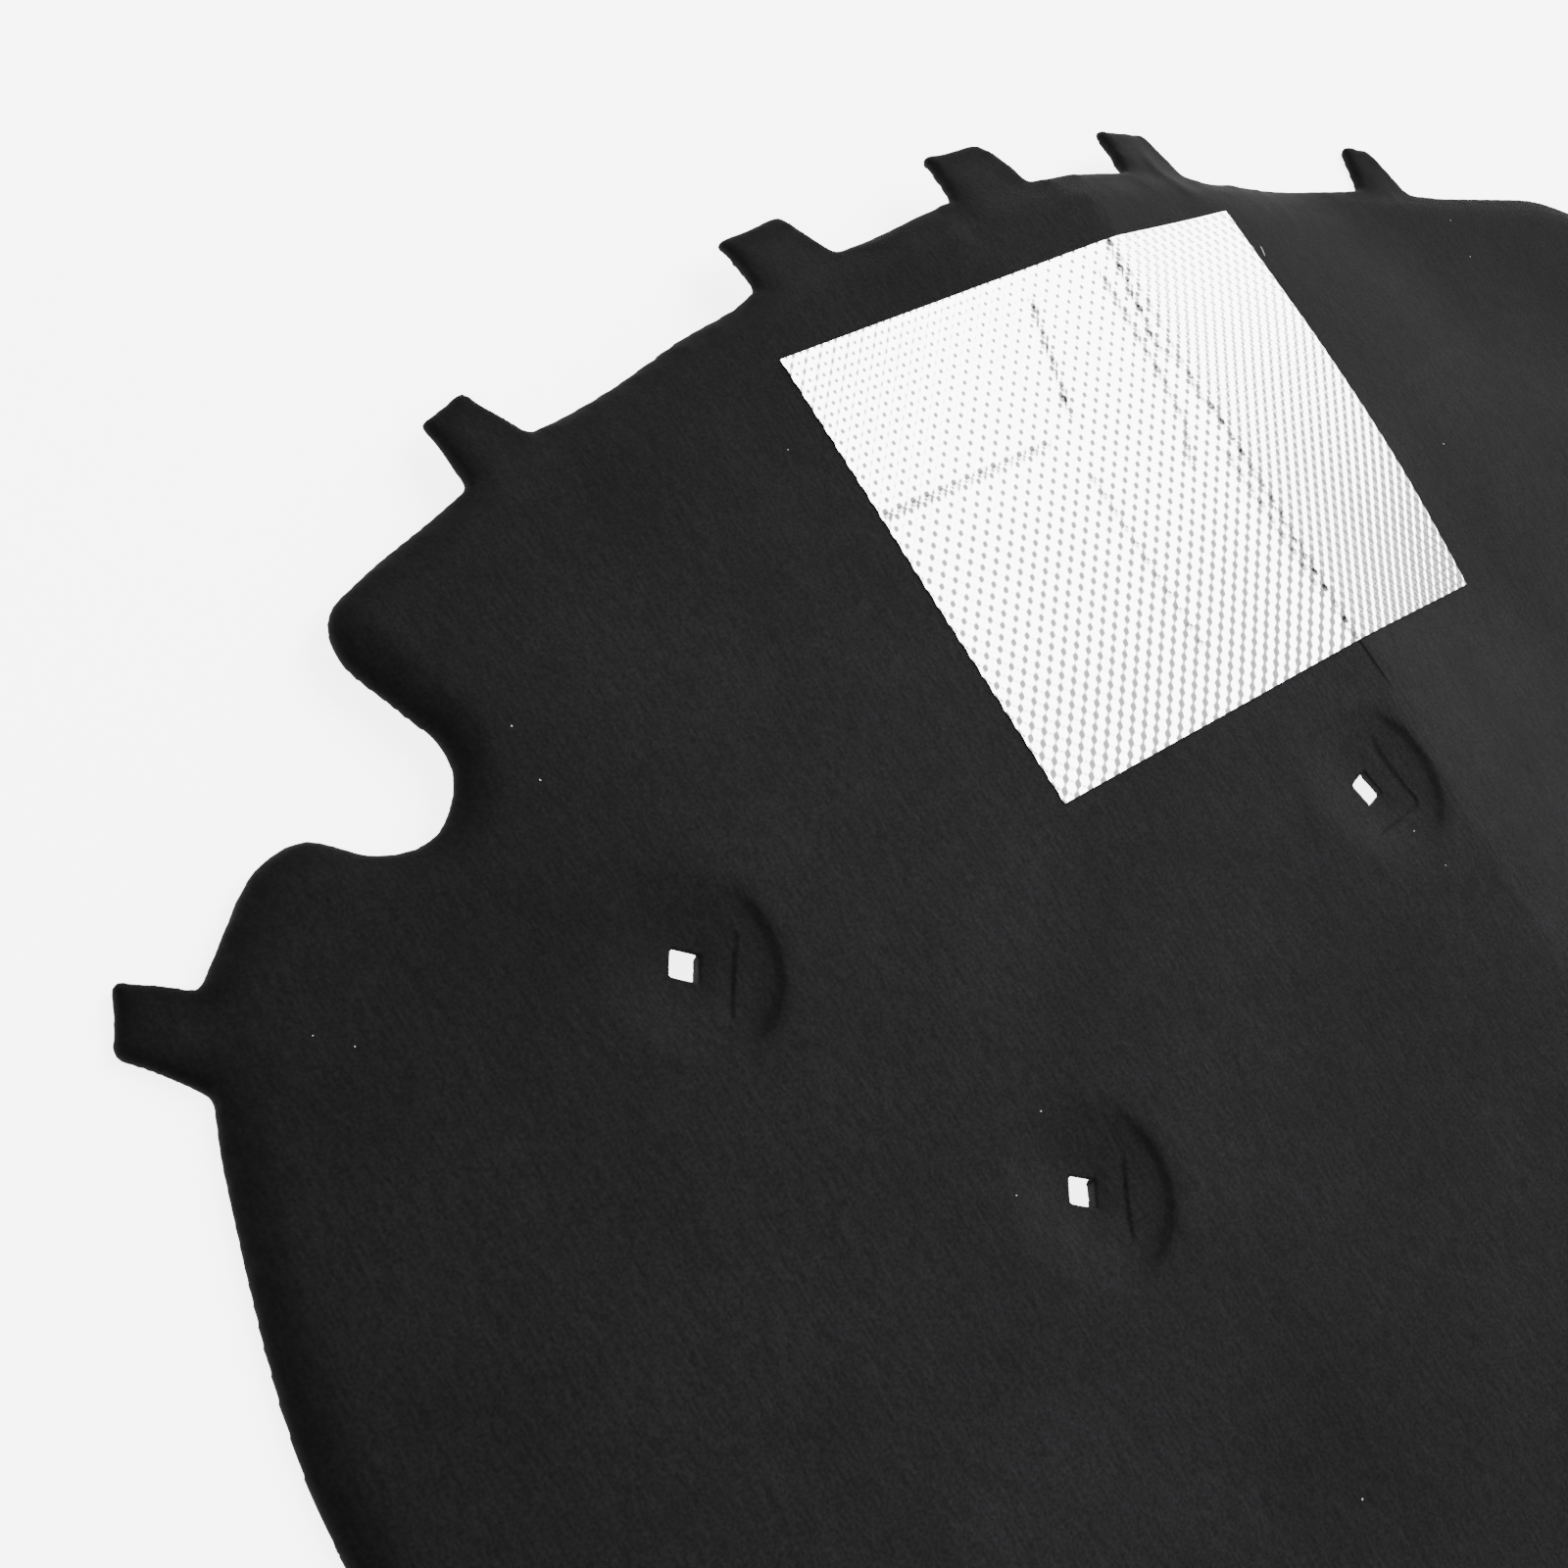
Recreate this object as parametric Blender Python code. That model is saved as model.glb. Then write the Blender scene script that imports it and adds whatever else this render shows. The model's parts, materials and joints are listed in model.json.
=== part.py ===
"""Engine bay insulation pad: one moulded needle-felt panel with an embossed foil patch.

The panel lies with its engine side up, as it comes out of its box. It was folded near the
middle for shipping, so it rests as a low tent: the left flank is straight and meets the
floor at its outer rim, and the right flank falls away from the fold, steepest at the front
edge, and lies down flat.

Both sheets are first laid out flat, seen from above, with +Y to the tabbed front edge.
There x is measured from the centreline, and y from the foremost point of the front edge.
One function, bend, then lays them over the fold.
"""
import math

import bmesh
import bpy
import numpy as np
from mathutils.geometry import delaunay_2d_cdt

# Panel outline
HALF_WIDTH = 0.594
PANEL_LENGTH = 0.830
FRONT_RADIUS = 1.200
FRONT_HOLLOW = 0.0035
SIDE_RADIUS = 0.290
SIDE_ARC_Y = -0.3735
SIDE_ARC_TURN = 20.6
REAR_CORNER_RADIUS = 0.090
REAR_BOW = 0.020
RIGHT_SHOULDER = (HALF_WIDTH - 0.140, -0.0775)
RIGHT_SHOULDER_RADIUS = 0.090
RIGHT_CORNER = (HALF_WIDTH - 0.0735, -0.118)
RIGHT_CORNER_RADIUS = 0.110
FRONT_END = HALF_WIDTH - 0.222

# Corner bay on the left, between two lobes
FRONT_LOBE = (0.1850 - HALF_WIDTH, -0.0890)
FRONT_LOBE_RADIUS = 0.0165
BAY = (0.1545 - HALF_WIDTH, -0.1370)
BAY_RADIUS = 0.031
SIDE_LOBE = (0.1035 - HALF_WIDTH, -0.1810)
SIDE_LOBE_RADIUS = 0.031

# Retaining tabs on the front edge: place, base width, tip width, length, lean, droop
OUTER_TAB = HALF_WIDTH - 0.273
INNER_TAB = 0.131
FRONT_TABS = (
    (-OUTER_TAB, 0.037, 0.021, 0.030, 0.0, 0.002),
    (-INNER_TAB, 0.048, 0.036, 0.028, 0.0, 0.007),
    (0.000, 0.048, 0.032, 0.028, 0.0, 0.006),
    (INNER_TAB + 0.002, 0.047, 0.036, 0.0275, 0.0, 0.004),
    (OUTER_TAB + 0.010, 0.036, 0.017, 0.0275, -14.0, 0.0),
)
TAB_CORNER_RADIUS = 0.0035
TAB_ROOT_RADIUS = 0.006

# One tab on each side edge
SIDE_TAB_Y = -0.1985
SIDE_TAB_BASE = 0.034
SIDE_TAB_TIP = 0.024
SIDE_TAB_LENGTH = 0.029
SIDE_TAB_LEAN = 20.0

# Felt section
FELT_THICKNESS = 0.012
RIM_THICKNESS = 0.0065
RIM_ROLL = 0.016
EDGE_ROUND = 0.0015

# Clip seats: place, turn of the hole and turn of the seat in degrees
SIDE_CLIPS = (
    (-0.3707, -0.2478, 53.0, 51.0),
    (-0.2660, -0.3937, 55.0, 57.0),
)
CENTRE_CLIP = (-0.0058, -0.3166, 14.0, 5.0)
CLIP_HOLE = 0.0125
SEAT_SIDE = 0.039
SEAT_CORNER_RADIUS = 0.004
SEAT_WALL = 0.003
LAND_THICKNESS = 0.0065
DISH_RADIUS = 0.034
DISH_SLOPE = 0.008
DISH_DEPTH = 0.0025

# Foil patch
FOIL_CENTRE = (-0.0080, -0.1495)
FOIL_WIDTH = 0.330
FOIL_HEIGHT = 0.217
FOIL_TURN = 0.9
FOIL_THICKNESS = 0.0008
FOIL_GAP = 0.0003

# Shipping fold, and the way the panel lies over it: the right flank's slopes are pairs of a
# distance back along the fold and an angle in degrees
CREASE_X = 0.047
CREASE_LEAN = 2.2
RIDGE_HEIGHT = 0.035
RIDGE_HALF_WIDTH = 0.004
FLANK_SLOPES = ((0.0, 11.0), (0.080, 7.6), (0.200, 5.6), (0.280, 8.0))
FLOOR_BEND_RADIUS = 0.300

# Mesh density
EDGE_STEP = 0.030
GRID = 0.032
ARC_STEP = 15.0
SLIVER = 1e-6


def arc(centre, radius, start, end, step=ARC_STEP):
    """Points of a circular arc between two directions in degrees, either way round."""
    count = max(2, math.ceil(abs(end - start) / step))
    angles = [math.radians(start + (end - start) * i / count) for i in range(count + 1)]
    return [(centre[0] + radius * math.cos(a), centre[1] + radius * math.sin(a)) for a in angles]


def fillet(before, corner, after, radius, step=30.0):
    """The arc that rounds a corner between two neighbouring points, as a list of points."""
    back, ahead = np.subtract(before, corner), np.subtract(after, corner)
    back_length, ahead_length = np.linalg.norm(back), np.linalg.norm(ahead)
    back, ahead = back / back_length, ahead / ahead_length
    half = math.acos(float(back @ ahead)) / 2
    reach = min(radius / math.tan(half), 0.48 * back_length, 0.48 * ahead_length)
    radius = reach * math.tan(half)
    middle = (back + ahead) / np.linalg.norm(back + ahead)
    centre = np.array(corner) + middle * radius / math.sin(half)
    first = np.array(corner) + back * reach - centre
    turn = math.pi - 2 * half
    if back[0] * ahead[1] - back[1] * ahead[0] > 0:
        turn = -turn
    start = math.degrees(math.atan2(first[1], first[0]))
    return arc(centre, radius, start, start + math.degrees(turn), step)


def front_y(x):
    """The front edge's y: an arch that is slightly hollow between inner and outer tabs."""
    share = min(max((abs(x) - INNER_TAB) / (OUTER_TAB - INNER_TAB), 0.0), 1.0)
    hollow = FRONT_HOLLOW * math.sin(math.pi * share) ** 2
    return math.sqrt(FRONT_RADIUS ** 2 - x * x) - FRONT_RADIUS - hollow


def front_edge(start, end):
    """Points along the arched front edge between two places."""
    count = max(1, math.ceil(abs(end - start) / EDGE_STEP))
    places = [start + (end - start) * i / count for i in range(count + 1)]
    return [(x, front_y(x)) for x in places]


def tab(root, outward, base, tip, length, lean):
    """The four corners of a tapered tab, in outline order."""
    out = np.array((math.cos(outward), math.sin(outward)))
    along = np.array((-out[1], out[0]))
    root = np.array(root)
    end = root + out * length - along * length * math.tan(math.radians(lean))
    return [root - along * base / 2, end - along * tip / 2,
            end + along * tip / 2, root + along * base / 2]


def rounded_tab(before, corners, after):
    """A tab's outline between two neighbouring points, with soft roots and round tips."""
    chain = [before, *corners, after]
    radii = (TAB_ROOT_RADIUS, TAB_CORNER_RADIUS, TAB_CORNER_RADIUS, TAB_ROOT_RADIUS)
    points = []
    for i, radius in enumerate(radii, start=1):
        points += fillet(chain[i - 1], chain[i], chain[i + 1], radius)
    return points


def side_arc(side):
    """The bowed stretch of a side edge, in outline order; side is -1 left, 1 right."""
    centre = (side * (HALF_WIDTH - SIDE_RADIUS), SIDE_ARC_Y)
    if side < 0:
        return arc(centre, SIDE_RADIUS, 180 - SIDE_ARC_TURN, 180, step=5)
    return arc(centre, SIDE_RADIUS, 0, SIDE_ARC_TURN, step=5)


def side_tab(side):
    """Corners of the tab on the slanting stretch of a side edge."""
    x, top = side_arc(1)[-1]
    x -= (SIDE_TAB_Y - top) * math.tan(math.radians(SIDE_ARC_TURN))
    outward = math.radians(SIDE_ARC_TURN if side > 0 else 180 - SIDE_ARC_TURN)
    return tab((side * x, SIDE_TAB_Y), outward, SIDE_TAB_BASE, SIDE_TAB_TIP,
               SIDE_TAB_LENGTH, -side * SIDE_TAB_LEAN)


def front_outline(with_tabs):
    """The front edge from right to left, up to the corner bay."""
    points = []
    x = FRONT_END
    for place, base, tip, length, lean, _ in reversed(FRONT_TABS if with_tabs else ()):
        outward = math.pi / 2 - math.asin(place / FRONT_RADIUS)
        corners = tab((place, front_y(place)), outward, base, tip, length, lean)
        before = corners[0][0] + 2 * TAB_ROOT_RADIUS
        after = corners[3][0] - 2 * TAB_ROOT_RADIUS
        points += front_edge(x, before)
        points += rounded_tab((before, front_y(before)), corners, (after, front_y(after)))
        x = after
    lobe = arc(FRONT_LOBE, FRONT_LOBE_RADIUS, 108, 205)
    return points + front_edge(x, lobe[0][0] + FRONT_LOBE_RADIUS) + lobe


def rear_outline():
    """The plain rear edge, with a slight bow and rounded corners, from left to right."""
    x = HALF_WIDTH - REAR_CORNER_RADIUS
    y = REAR_BOW - PANEL_LENGTH + REAR_CORNER_RADIUS
    radius = (x * x + REAR_BOW ** 2) / (2 * REAR_BOW)
    spread = math.degrees(math.asin(x / radius))
    bow = arc((0, radius - PANEL_LENGTH), radius, 270 - spread, 270 + spread, spread / 8)
    return (arc((-x, y), REAR_CORNER_RADIUS, 180, 270) + bow[1:-1]
            + arc((x, y), REAR_CORNER_RADIUS, 270, 360))


def panel_outline(with_tabs):
    """The panel seen from above, anticlockwise from the right end of the front edge."""
    points = front_outline(with_tabs)
    points += arc(BAY, BAY_RADIUS, 25, -125)
    points += arc(SIDE_LOBE, SIDE_LOBE_RADIUS, 55, 130)
    left, right = side_arc(-1), side_arc(1)
    root = side_tab(-1)
    if with_tabs:
        points += rounded_tab(points[-1], root, left[0])
    else:
        points += fillet(points[-1], root[0], left[0], TAB_ROOT_RADIUS)
    points += left + rear_outline() + right
    if with_tabs:
        points += rounded_tab(right[-1], side_tab(1), RIGHT_CORNER)
    front_end = (FRONT_END, front_y(FRONT_END))
    points += fillet(right[-1], RIGHT_CORNER, RIGHT_SHOULDER, RIGHT_CORNER_RADIUS, step=8)
    points += fillet(RIGHT_CORNER, RIGHT_SHOULDER, front_end, RIGHT_SHOULDER_RADIUS, step=8)
    return [p for i, p in enumerate(points) if math.dist(p, points[i - 1]) > EDGE_ROUND / 4]


def filled(loop, step):
    """The same loop with more points on its long straight stretches."""
    points = []
    for start, end in zip(loop, [*loop[1:], loop[0]]):
        count = max(1, math.ceil(math.dist(start, end) / step))
        for i in range(count):
            share = i / count
            points.append((start[0] + (end[0] - start[0]) * share,
                           start[1] + (end[1] - start[1]) * share))
    return points


def distance_inside(points, loop):
    """Distance of each point from a closed loop, zero for those outside it."""
    points, start = np.asarray(points, dtype=float), np.asarray(loop, dtype=float)
    run = np.roll(start, -1, axis=0) - start
    gap = points[:, None] - start[None]
    share = np.clip((gap * run).sum(2) / (run * run).sum(1), 0, 1)
    distance = np.linalg.norm(gap - share[..., None] * run, axis=2).min(1)
    end = start + run
    spans = (start[:, 1] > points[:, None, 1]) != (end[:, 1] > points[:, None, 1])
    rise = np.where(run[:, 1] == 0, 1.0, run[:, 1])
    crossing = start[:, 0] + (points[:, None, 1] - start[:, 1]) * run[:, 0] / rise
    inside = (spans & (points[:, None, 0] < crossing)).sum(1) % 2 == 1
    return np.where(inside, distance, 0.0)


BODY = filled(panel_outline(with_tabs=False), EDGE_STEP)


def clips():
    """Every clip: the centre one, the two on the left and their mirror images."""
    mirrored = [(-x, y, -hole, -seat) for x, y, hole, seat in SIDE_CLIPS]
    return [CENTRE_CLIP, *SIDE_CLIPS, *mirrored]


def rounded_square(centre, side, radius, turn):
    """A square with rounded corners, turned about its centre, as a loop of points."""
    inner = side / 2 - radius
    points = []
    for i, (sx, sy) in enumerate(((1, 1), (-1, 1), (-1, -1), (1, -1))):
        points += arc((sx * inner, sy * inner), radius, 90 * i, 90 * i + 90, step=45)
    c, s = math.cos(math.radians(turn)), math.sin(math.radians(turn))
    return [(centre[0] + c * x - s * y, centre[1] + s * x + c * y) for x, y in points]


def ease(share):
    """Soft step from 0 to 1."""
    share = np.clip(share, 0.0, 1.0)
    return share * share * (3 - 2 * share)


def beyond_square(points, centre, turn):
    """How far each point lies beyond a seat's edge, negative on the seat itself."""
    offset = np.asarray(points) - centre
    c, s = math.cos(math.radians(turn)), math.sin(math.radians(turn))
    inner = SEAT_SIDE / 2 - SEAT_CORNER_RADIUS
    u, v = np.abs(offset @ (c, s)) - inner, np.abs(offset @ (-s, c)) - inner
    corner = np.hypot(np.maximum(u, 0), np.maximum(v, 0))
    return corner + np.minimum(np.maximum(u, v), 0) - SEAT_CORNER_RADIUS


def felt_height(points):
    """Thickness of the felt at each flat point: rolled rim, thin tabs and sunk seats."""
    points = np.asarray(points, dtype=float)
    roll = np.sin(np.clip(distance_inside(points, BODY) / RIM_ROLL, 0, 1) * math.pi / 2)
    height = RIM_THICKNESS + (FELT_THICKNESS - RIM_THICKNESS) * roll
    for x, y, _, turn in clips():
        reach = np.linalg.norm(points - (x, y), axis=1)
        dish = FELT_THICKNESS - DISH_DEPTH * (1 - ease((reach - DISH_RADIUS) / DISH_SLOPE))
        wall = np.clip(beyond_square(points, (x, y), turn) / SEAT_WALL, 0, 1)
        height = np.minimum(height, LAND_THICKNESS + (dish - LAND_THICKNESS) * wall)
    return height


def fold_coordinates(x, y):
    """Distance across the fold, and along it from its end at the front edge."""
    lean = math.radians(CREASE_LEAN)
    dx = x - CREASE_X
    return dx * math.cos(lean) - y * math.sin(lean), dx * math.sin(lean) + y * math.cos(lean)


def from_fold(across, along):
    """Flat place of a point given across and along the fold."""
    lean = math.radians(CREASE_LEAN)
    return (CREASE_X + across * math.cos(lean) + along * math.sin(lean),
            along * math.cos(lean) - across * math.sin(lean))


LEFT_REACH = -min(fold_coordinates(x, y)[0] for x, y in panel_outline(with_tabs=True))
LEFT_SLOPE = math.asin(RIDGE_HEIGHT / LEFT_REACH)
RIDGE_LINES = (-RIDGE_HALF_WIDTH, 0.0, RIDGE_HALF_WIDTH)


def stretch(length, start, end):
    """Run and rise of a stretch whose slope turns evenly from one angle to another."""
    if abs(end - start) < 1e-9:
        return length * math.cos(start), length * math.sin(start)
    radius = length / (end - start)
    return radius * (math.sin(end) - math.sin(start)), radius * (math.cos(start) - math.cos(end))


def flank_slope(back):
    """The right flank's slope beside the fold, at a distance back along the fold."""
    distances, angles = zip(*FLANK_SLOPES)
    return float(np.interp(back, distances, angles))


def cross_section(across, along):
    """Run, height and slope of the panel's underside at a distance across the fold."""
    half = RIDGE_HALF_WIDTH
    run, height = -half, RIDGE_HEIGHT - half * math.sin(LEFT_SLOPE)
    if across <= -half:
        step, rise = stretch(across + half, LEFT_SLOPE, LEFT_SLOPE)
        return run + step, height + rise, LEFT_SLOPE
    down = math.radians(flank_slope(-along))
    ridge_rise = stretch(2 * half, LEFT_SLOPE, -down)[1]
    bend_drop = FLOOR_BEND_RADIUS * (1 - math.cos(down))
    straight = max((height + ridge_rise - bend_drop) / math.sin(down), 0.0)
    stretches = ((2 * half, LEFT_SLOPE, -down), (straight, -down, -down),
                 (FLOOR_BEND_RADIUS * down, -down, 0.0), (math.inf, 0.0, 0.0))
    left = across + half
    for length, start, end in stretches:
        part = min(left, length)
        slope = start + (end - start) * (part / length if length > 0 else 0.0)
        step, rise = stretch(part, start, slope)
        run, height, left = run + step, height + rise, left - part
        if left <= 0:
            break
    return run, height, slope


def tab_droop(x, y):
    """How far a front tab hangs down at a flat point; none where the floor is near."""
    if abs(x) > HALF_WIDTH or y <= front_y(x):
        return 0.0
    *_, length, _, droop = min(FRONT_TABS, key=lambda row: abs(x - row[0]))
    height = cross_section(*fold_coordinates(x, y))[1]
    return min(droop, height) * min((y - front_y(x)) / length, 1.0) ** 1.5


def bend(x, y, height):
    """Where a point at a height above the flat underside lies once the panel rests."""
    across, along = fold_coordinates(x, y)
    run, rise, slope = cross_section(across, along)
    flat_x, flat_y = from_fold(run - height * math.sin(slope), along)
    return flat_x, flat_y, rise + height * math.cos(slope) - tab_droop(x, y)


def at_folds(loop):
    """The same loop with a point wherever it crosses a line of the ridge."""
    points = []
    for start, end in zip(loop, [*loop[1:], loop[0]]):
        points.append(tuple(start))
        here, there = fold_coordinates(*start)[0], fold_coordinates(*end)[0]
        for line in sorted(RIDGE_LINES, reverse=bool(here > there)):
            share = (line - here) / (there - here) if here != there else 0.0
            if not 0.0 < share < 1.0:
                continue
            points.append((start[0] + (end[0] - start[0]) * share,
                           start[1] + (end[1] - start[1]) * share))
    return points


def ridge_lines(loop, step):
    """Lines along the ridge, as chains of points inside a loop."""
    chains = []
    for across in RIDGE_LINES:
        count = math.ceil(PANEL_LENGTH / step)
        chain = [from_fold(across, step * 0.5 - step * i) for i in range(count)]
        depth = distance_inside(chain, loop)
        chains.append([p for p, inside in zip(chain, depth) if inside > 0.002])
    return chains


def grid_points(loop, step, margin):
    """Points inside a loop, in staggered rows across the fold, with none at its ridge."""
    reach = math.ceil(2 * HALF_WIDTH / step)
    points = [from_fold(step * (i + 0.5 * (j % 2)), -step * j)
              for i in range(-reach, reach) for j in range(-2, reach)]
    return [p for p, depth in zip(points, distance_inside(points, loop))
            if depth > margin and abs(fold_coordinates(*p)[0]) > 1.5 * RIDGE_HALF_WIDTH]


def inner_ring(loop, inset):
    """Points set in from a loop by a distance, where there is room for them."""
    points = []
    for i, point in enumerate(loop):
        run = np.subtract(loop[(i + 1) % len(loop)], loop[i - 1])
        inward = np.array((-run[1], run[0])) / np.linalg.norm(run)
        points.append(tuple(np.array(point) + inward * inset))
    depths = distance_inside(points, loop)
    return [p for p, depth in zip(points, depths) if depth > 0.93 * inset]


def seat_rings(clip):
    """The closed lines of a seat: its edge, the top of its wall and the dish around it."""
    x, y, _, turn = clip
    top = SEAT_SIDE + 2 * SEAT_WALL
    rings = [rounded_square((x, y), SEAT_SIDE, SEAT_CORNER_RADIUS, turn),
             rounded_square((x, y), top, SEAT_CORNER_RADIUS + SEAT_WALL, turn)]
    for radius in (DISH_RADIUS, DISH_RADIUS + DISH_SLOPE / 2, DISH_RADIUS + DISH_SLOPE):
        rings.append(arc((x, y), radius, 0, 360)[:-1])
    return rings


def hole_loop(clip):
    """The square clip hole, with a point halfway along each side."""
    x, y, turn, _ = clip
    half = CLIP_HOLE / 2
    c, s = math.cos(math.radians(turn)), math.sin(math.radians(turn))
    square = ((-half, -half), (half, -half), (half, half), (-half, half))
    return filled([(x + c * u - s * v, y + s * u + c * v) for u, v in square], half * 1.01)


def triangulate(loops, chains, points):
    """Fill a loop around its holes with triangles that follow the given chains."""
    verts, edges = [], []
    for loop in loops:
        first = len(verts)
        verts += [tuple(p) for p in loop]
        edges += [(first + i, first + (i + 1) % len(loop)) for i in range(len(loop))]
    rim_count = len(verts)
    for chain in chains:
        first = len(verts)
        verts += [tuple(p) for p in chain]
        edges += [(first + i, first + i + 1) for i in range(len(chain) - 1)]
    verts += [tuple(p) for p in points]
    flat, _, faces, origins, _, _ = delaunay_2d_cdt(verts, edges, [], 0, 1e-6)
    flat = np.array([(v.x, v.y) for v in flat])
    centres = np.array([flat[list(face)].mean(0) for face in faces])
    keep = distance_inside(centres, loops[0]) > SLIVER
    for hole in loops[1:]:
        keep &= distance_inside(centres, hole) < SLIVER
    rim = {source: i for i, sources in enumerate(origins) for source in sources
           if source < rim_count}
    return flat, [tuple(face) for face, wanted in zip(faces, keep) if wanted], rim


def add_skin(bm, loops, chains, points, height):
    """Add one bent skin of a sheet, and return the vertices of its loops in order."""
    flat, faces, rim = triangulate(loops, chains, points)
    heights = height(flat)
    verts = {}
    for i in sorted({corner for face in faces for corner in face}):
        verts[i] = bm.verts.new(bend(*flat[i], heights[i]))
    for face in faces:
        bm.faces.new([verts[i] for i in face])
    return [verts[rim[i]] for i in range(sum(len(loop) for loop in loops))]


def make_sheet(name, loops, top, underside, material):
    """A closed sheet: a top and an underside on the same loops, joined by their walls.

    top and underside each hold the skin's chains, its points and its height function.
    """
    bm = bmesh.new()
    upper, lower = add_skin(bm, loops, *top), add_skin(bm, loops, *underside)
    first = 0
    for loop in loops:
        for i in range(len(loop)):
            a, b = first + i, first + (i + 1) % len(loop)
            bm.faces.new((upper[a], upper[b], lower[b], lower[a]))
        first += len(loop)
    bmesh.ops.triangulate(bm, faces=bm.faces)
    bmesh.ops.recalc_face_normals(bm, faces=bm.faces)
    mesh = bpy.data.meshes.new(name)
    bm.to_mesh(mesh)
    bm.free()
    mesh.shade_smooth()
    mesh.set_sharp_from_angle(angle=math.radians(25))
    mesh.materials.append(material)
    sheet = bpy.data.objects.new(name, mesh)
    bpy.context.collection.objects.link(sheet)
    return sheet


def foil_outline(grow=0.0):
    """The foil's edge on the flat panel, or the same shape grown by a distance."""
    c, s = math.cos(math.radians(FOIL_TURN)), math.sin(math.radians(FOIL_TURN))
    u, v = FOIL_WIDTH / 2 + grow, FOIL_HEIGHT / 2 + grow
    corners = [(FOIL_CENTRE[0] + c * x - s * y, FOIL_CENTRE[1] + s * x + c * y)
               for x, y in ((u, v), (-u, v), (-u, -v), (u, -v))]
    return at_folds(filled(corners, GRID))


def make_material(name, colour, roughness, metallic):
    """A plain material for one sub-part."""
    material = bpy.data.materials.new(name)
    material.use_nodes = True
    shader = material.node_tree.nodes["Principled BSDF"]
    shader.inputs["Base Color"].default_value = (*colour, 1.0)
    shader.inputs["Roughness"].default_value = roughness
    shader.inputs["Metallic"].default_value = metallic
    return material


def make_felt_panel():
    """The moulded felt panel: rolled rim, thin tabs, corner bay, dished clip seats.

    Under the foil its top has the foil's own points, so that both sheets bend alike.
    """
    outline = at_folds(filled(panel_outline(with_tabs=True), EDGE_STEP))
    holes = [hole_loop(clip) for clip in clips()]
    rings = [seat_ring for clip in clips() for seat_ring in seat_rings(clip)]
    rings.append(foil_outline())
    chains = ridge_lines(outline, GRID) + [[*closed, closed[0]] for closed in rings]
    seat_reach = DISH_RADIUS + DISH_SLOPE
    points = inner_ring(outline, EDGE_ROUND)
    for share in (0.33, 0.66, 1.0):
        points += inner_ring(BODY, RIM_ROLL * share)
    points += grid_points(outline, GRID, RIM_ROLL + GRID / 3)
    under_foil = distance_inside(points, foil_outline(grow=GRID / 3)) > 0
    points = [p for p, covered in zip(points, under_foil) if not covered
              and all(math.dist(p, clip[:2]) > seat_reach + GRID / 5 for clip in clips())
              and abs(fold_coordinates(*p)[0]) > 1.5 * RIDGE_HALF_WIDTH]
    points += grid_points(foil_outline(), GRID, GRID / 3)

    def top_height(flat):
        depth = distance_inside(flat, outline)
        drop = EDGE_ROUND * (1 - np.clip(depth / EDGE_ROUND, 0, 1))
        near_hole = np.min([np.linalg.norm(flat - clip[:2], axis=1) for clip in clips()], axis=0)
        return felt_height(flat) - np.where(near_hole < CLIP_HOLE, 0.0, drop)

    under_points = [p for p in grid_points(outline, 2 * GRID, GRID) if p[0] > CREASE_X]
    underside = (ridge_lines(outline, 4 * GRID), under_points, lambda flat: np.zeros(len(flat)))
    material = make_material("needle_felt", (0.022, 0.022, 0.024), 0.95, 0.0)
    return make_sheet("felt_panel", [outline, *holes], (chains, points, top_height),
                      underside, material)


def make_foil_patch():
    """The thin aluminium patch that lies on the felt across the fold."""
    outline = foil_outline()
    points = grid_points(outline, GRID, GRID / 3)
    chains = ridge_lines(outline, GRID)
    base = FELT_THICKNESS + FOIL_GAP
    material = make_material("embossed_aluminium", (0.86, 0.86, 0.87), 0.35, 1.0)
    return make_sheet("foil_heat_shield", [outline],
                      (chains, points, lambda flat: np.full(len(flat), base + FOIL_THICKNESS)),
                      (chains, points, lambda flat: np.full(len(flat), base)), material)


def stand_on_floor(sheets):
    """Move the sheets together, so that the panel is centred and its lowest point is at 0."""
    corners = np.array([tuple(v.co) for v in sheets[0].data.vertices])
    low, high = corners.min(0), corners.max(0)
    for sheet in sheets:
        sheet.location = (-(low[0] + high[0]) / 2, -(low[1] + high[1]) / 2, -low[2])


for old in list(bpy.data.objects):
    bpy.data.objects.remove(old)
stand_on_floor([make_felt_panel(), make_foil_patch()])
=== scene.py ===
# %% [markdown]
# # An engine bay insulation pad
# This lesson dresses a moulded felt pad that lines the inside of a bonnet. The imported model
# gives its true outline, thickness and fold. Here it gets what the eye needs: soft charcoal
# needle felt with pressed clip seats, and a sheet of embossed aluminium foil.

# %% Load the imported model
import json
import math

import bmesh
import bpy
import numpy as np
from mathutils import Matrix, Vector, noise
from mathutils.bvhtree import BVHTree
from mathutils.kdtree import KDTree


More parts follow.
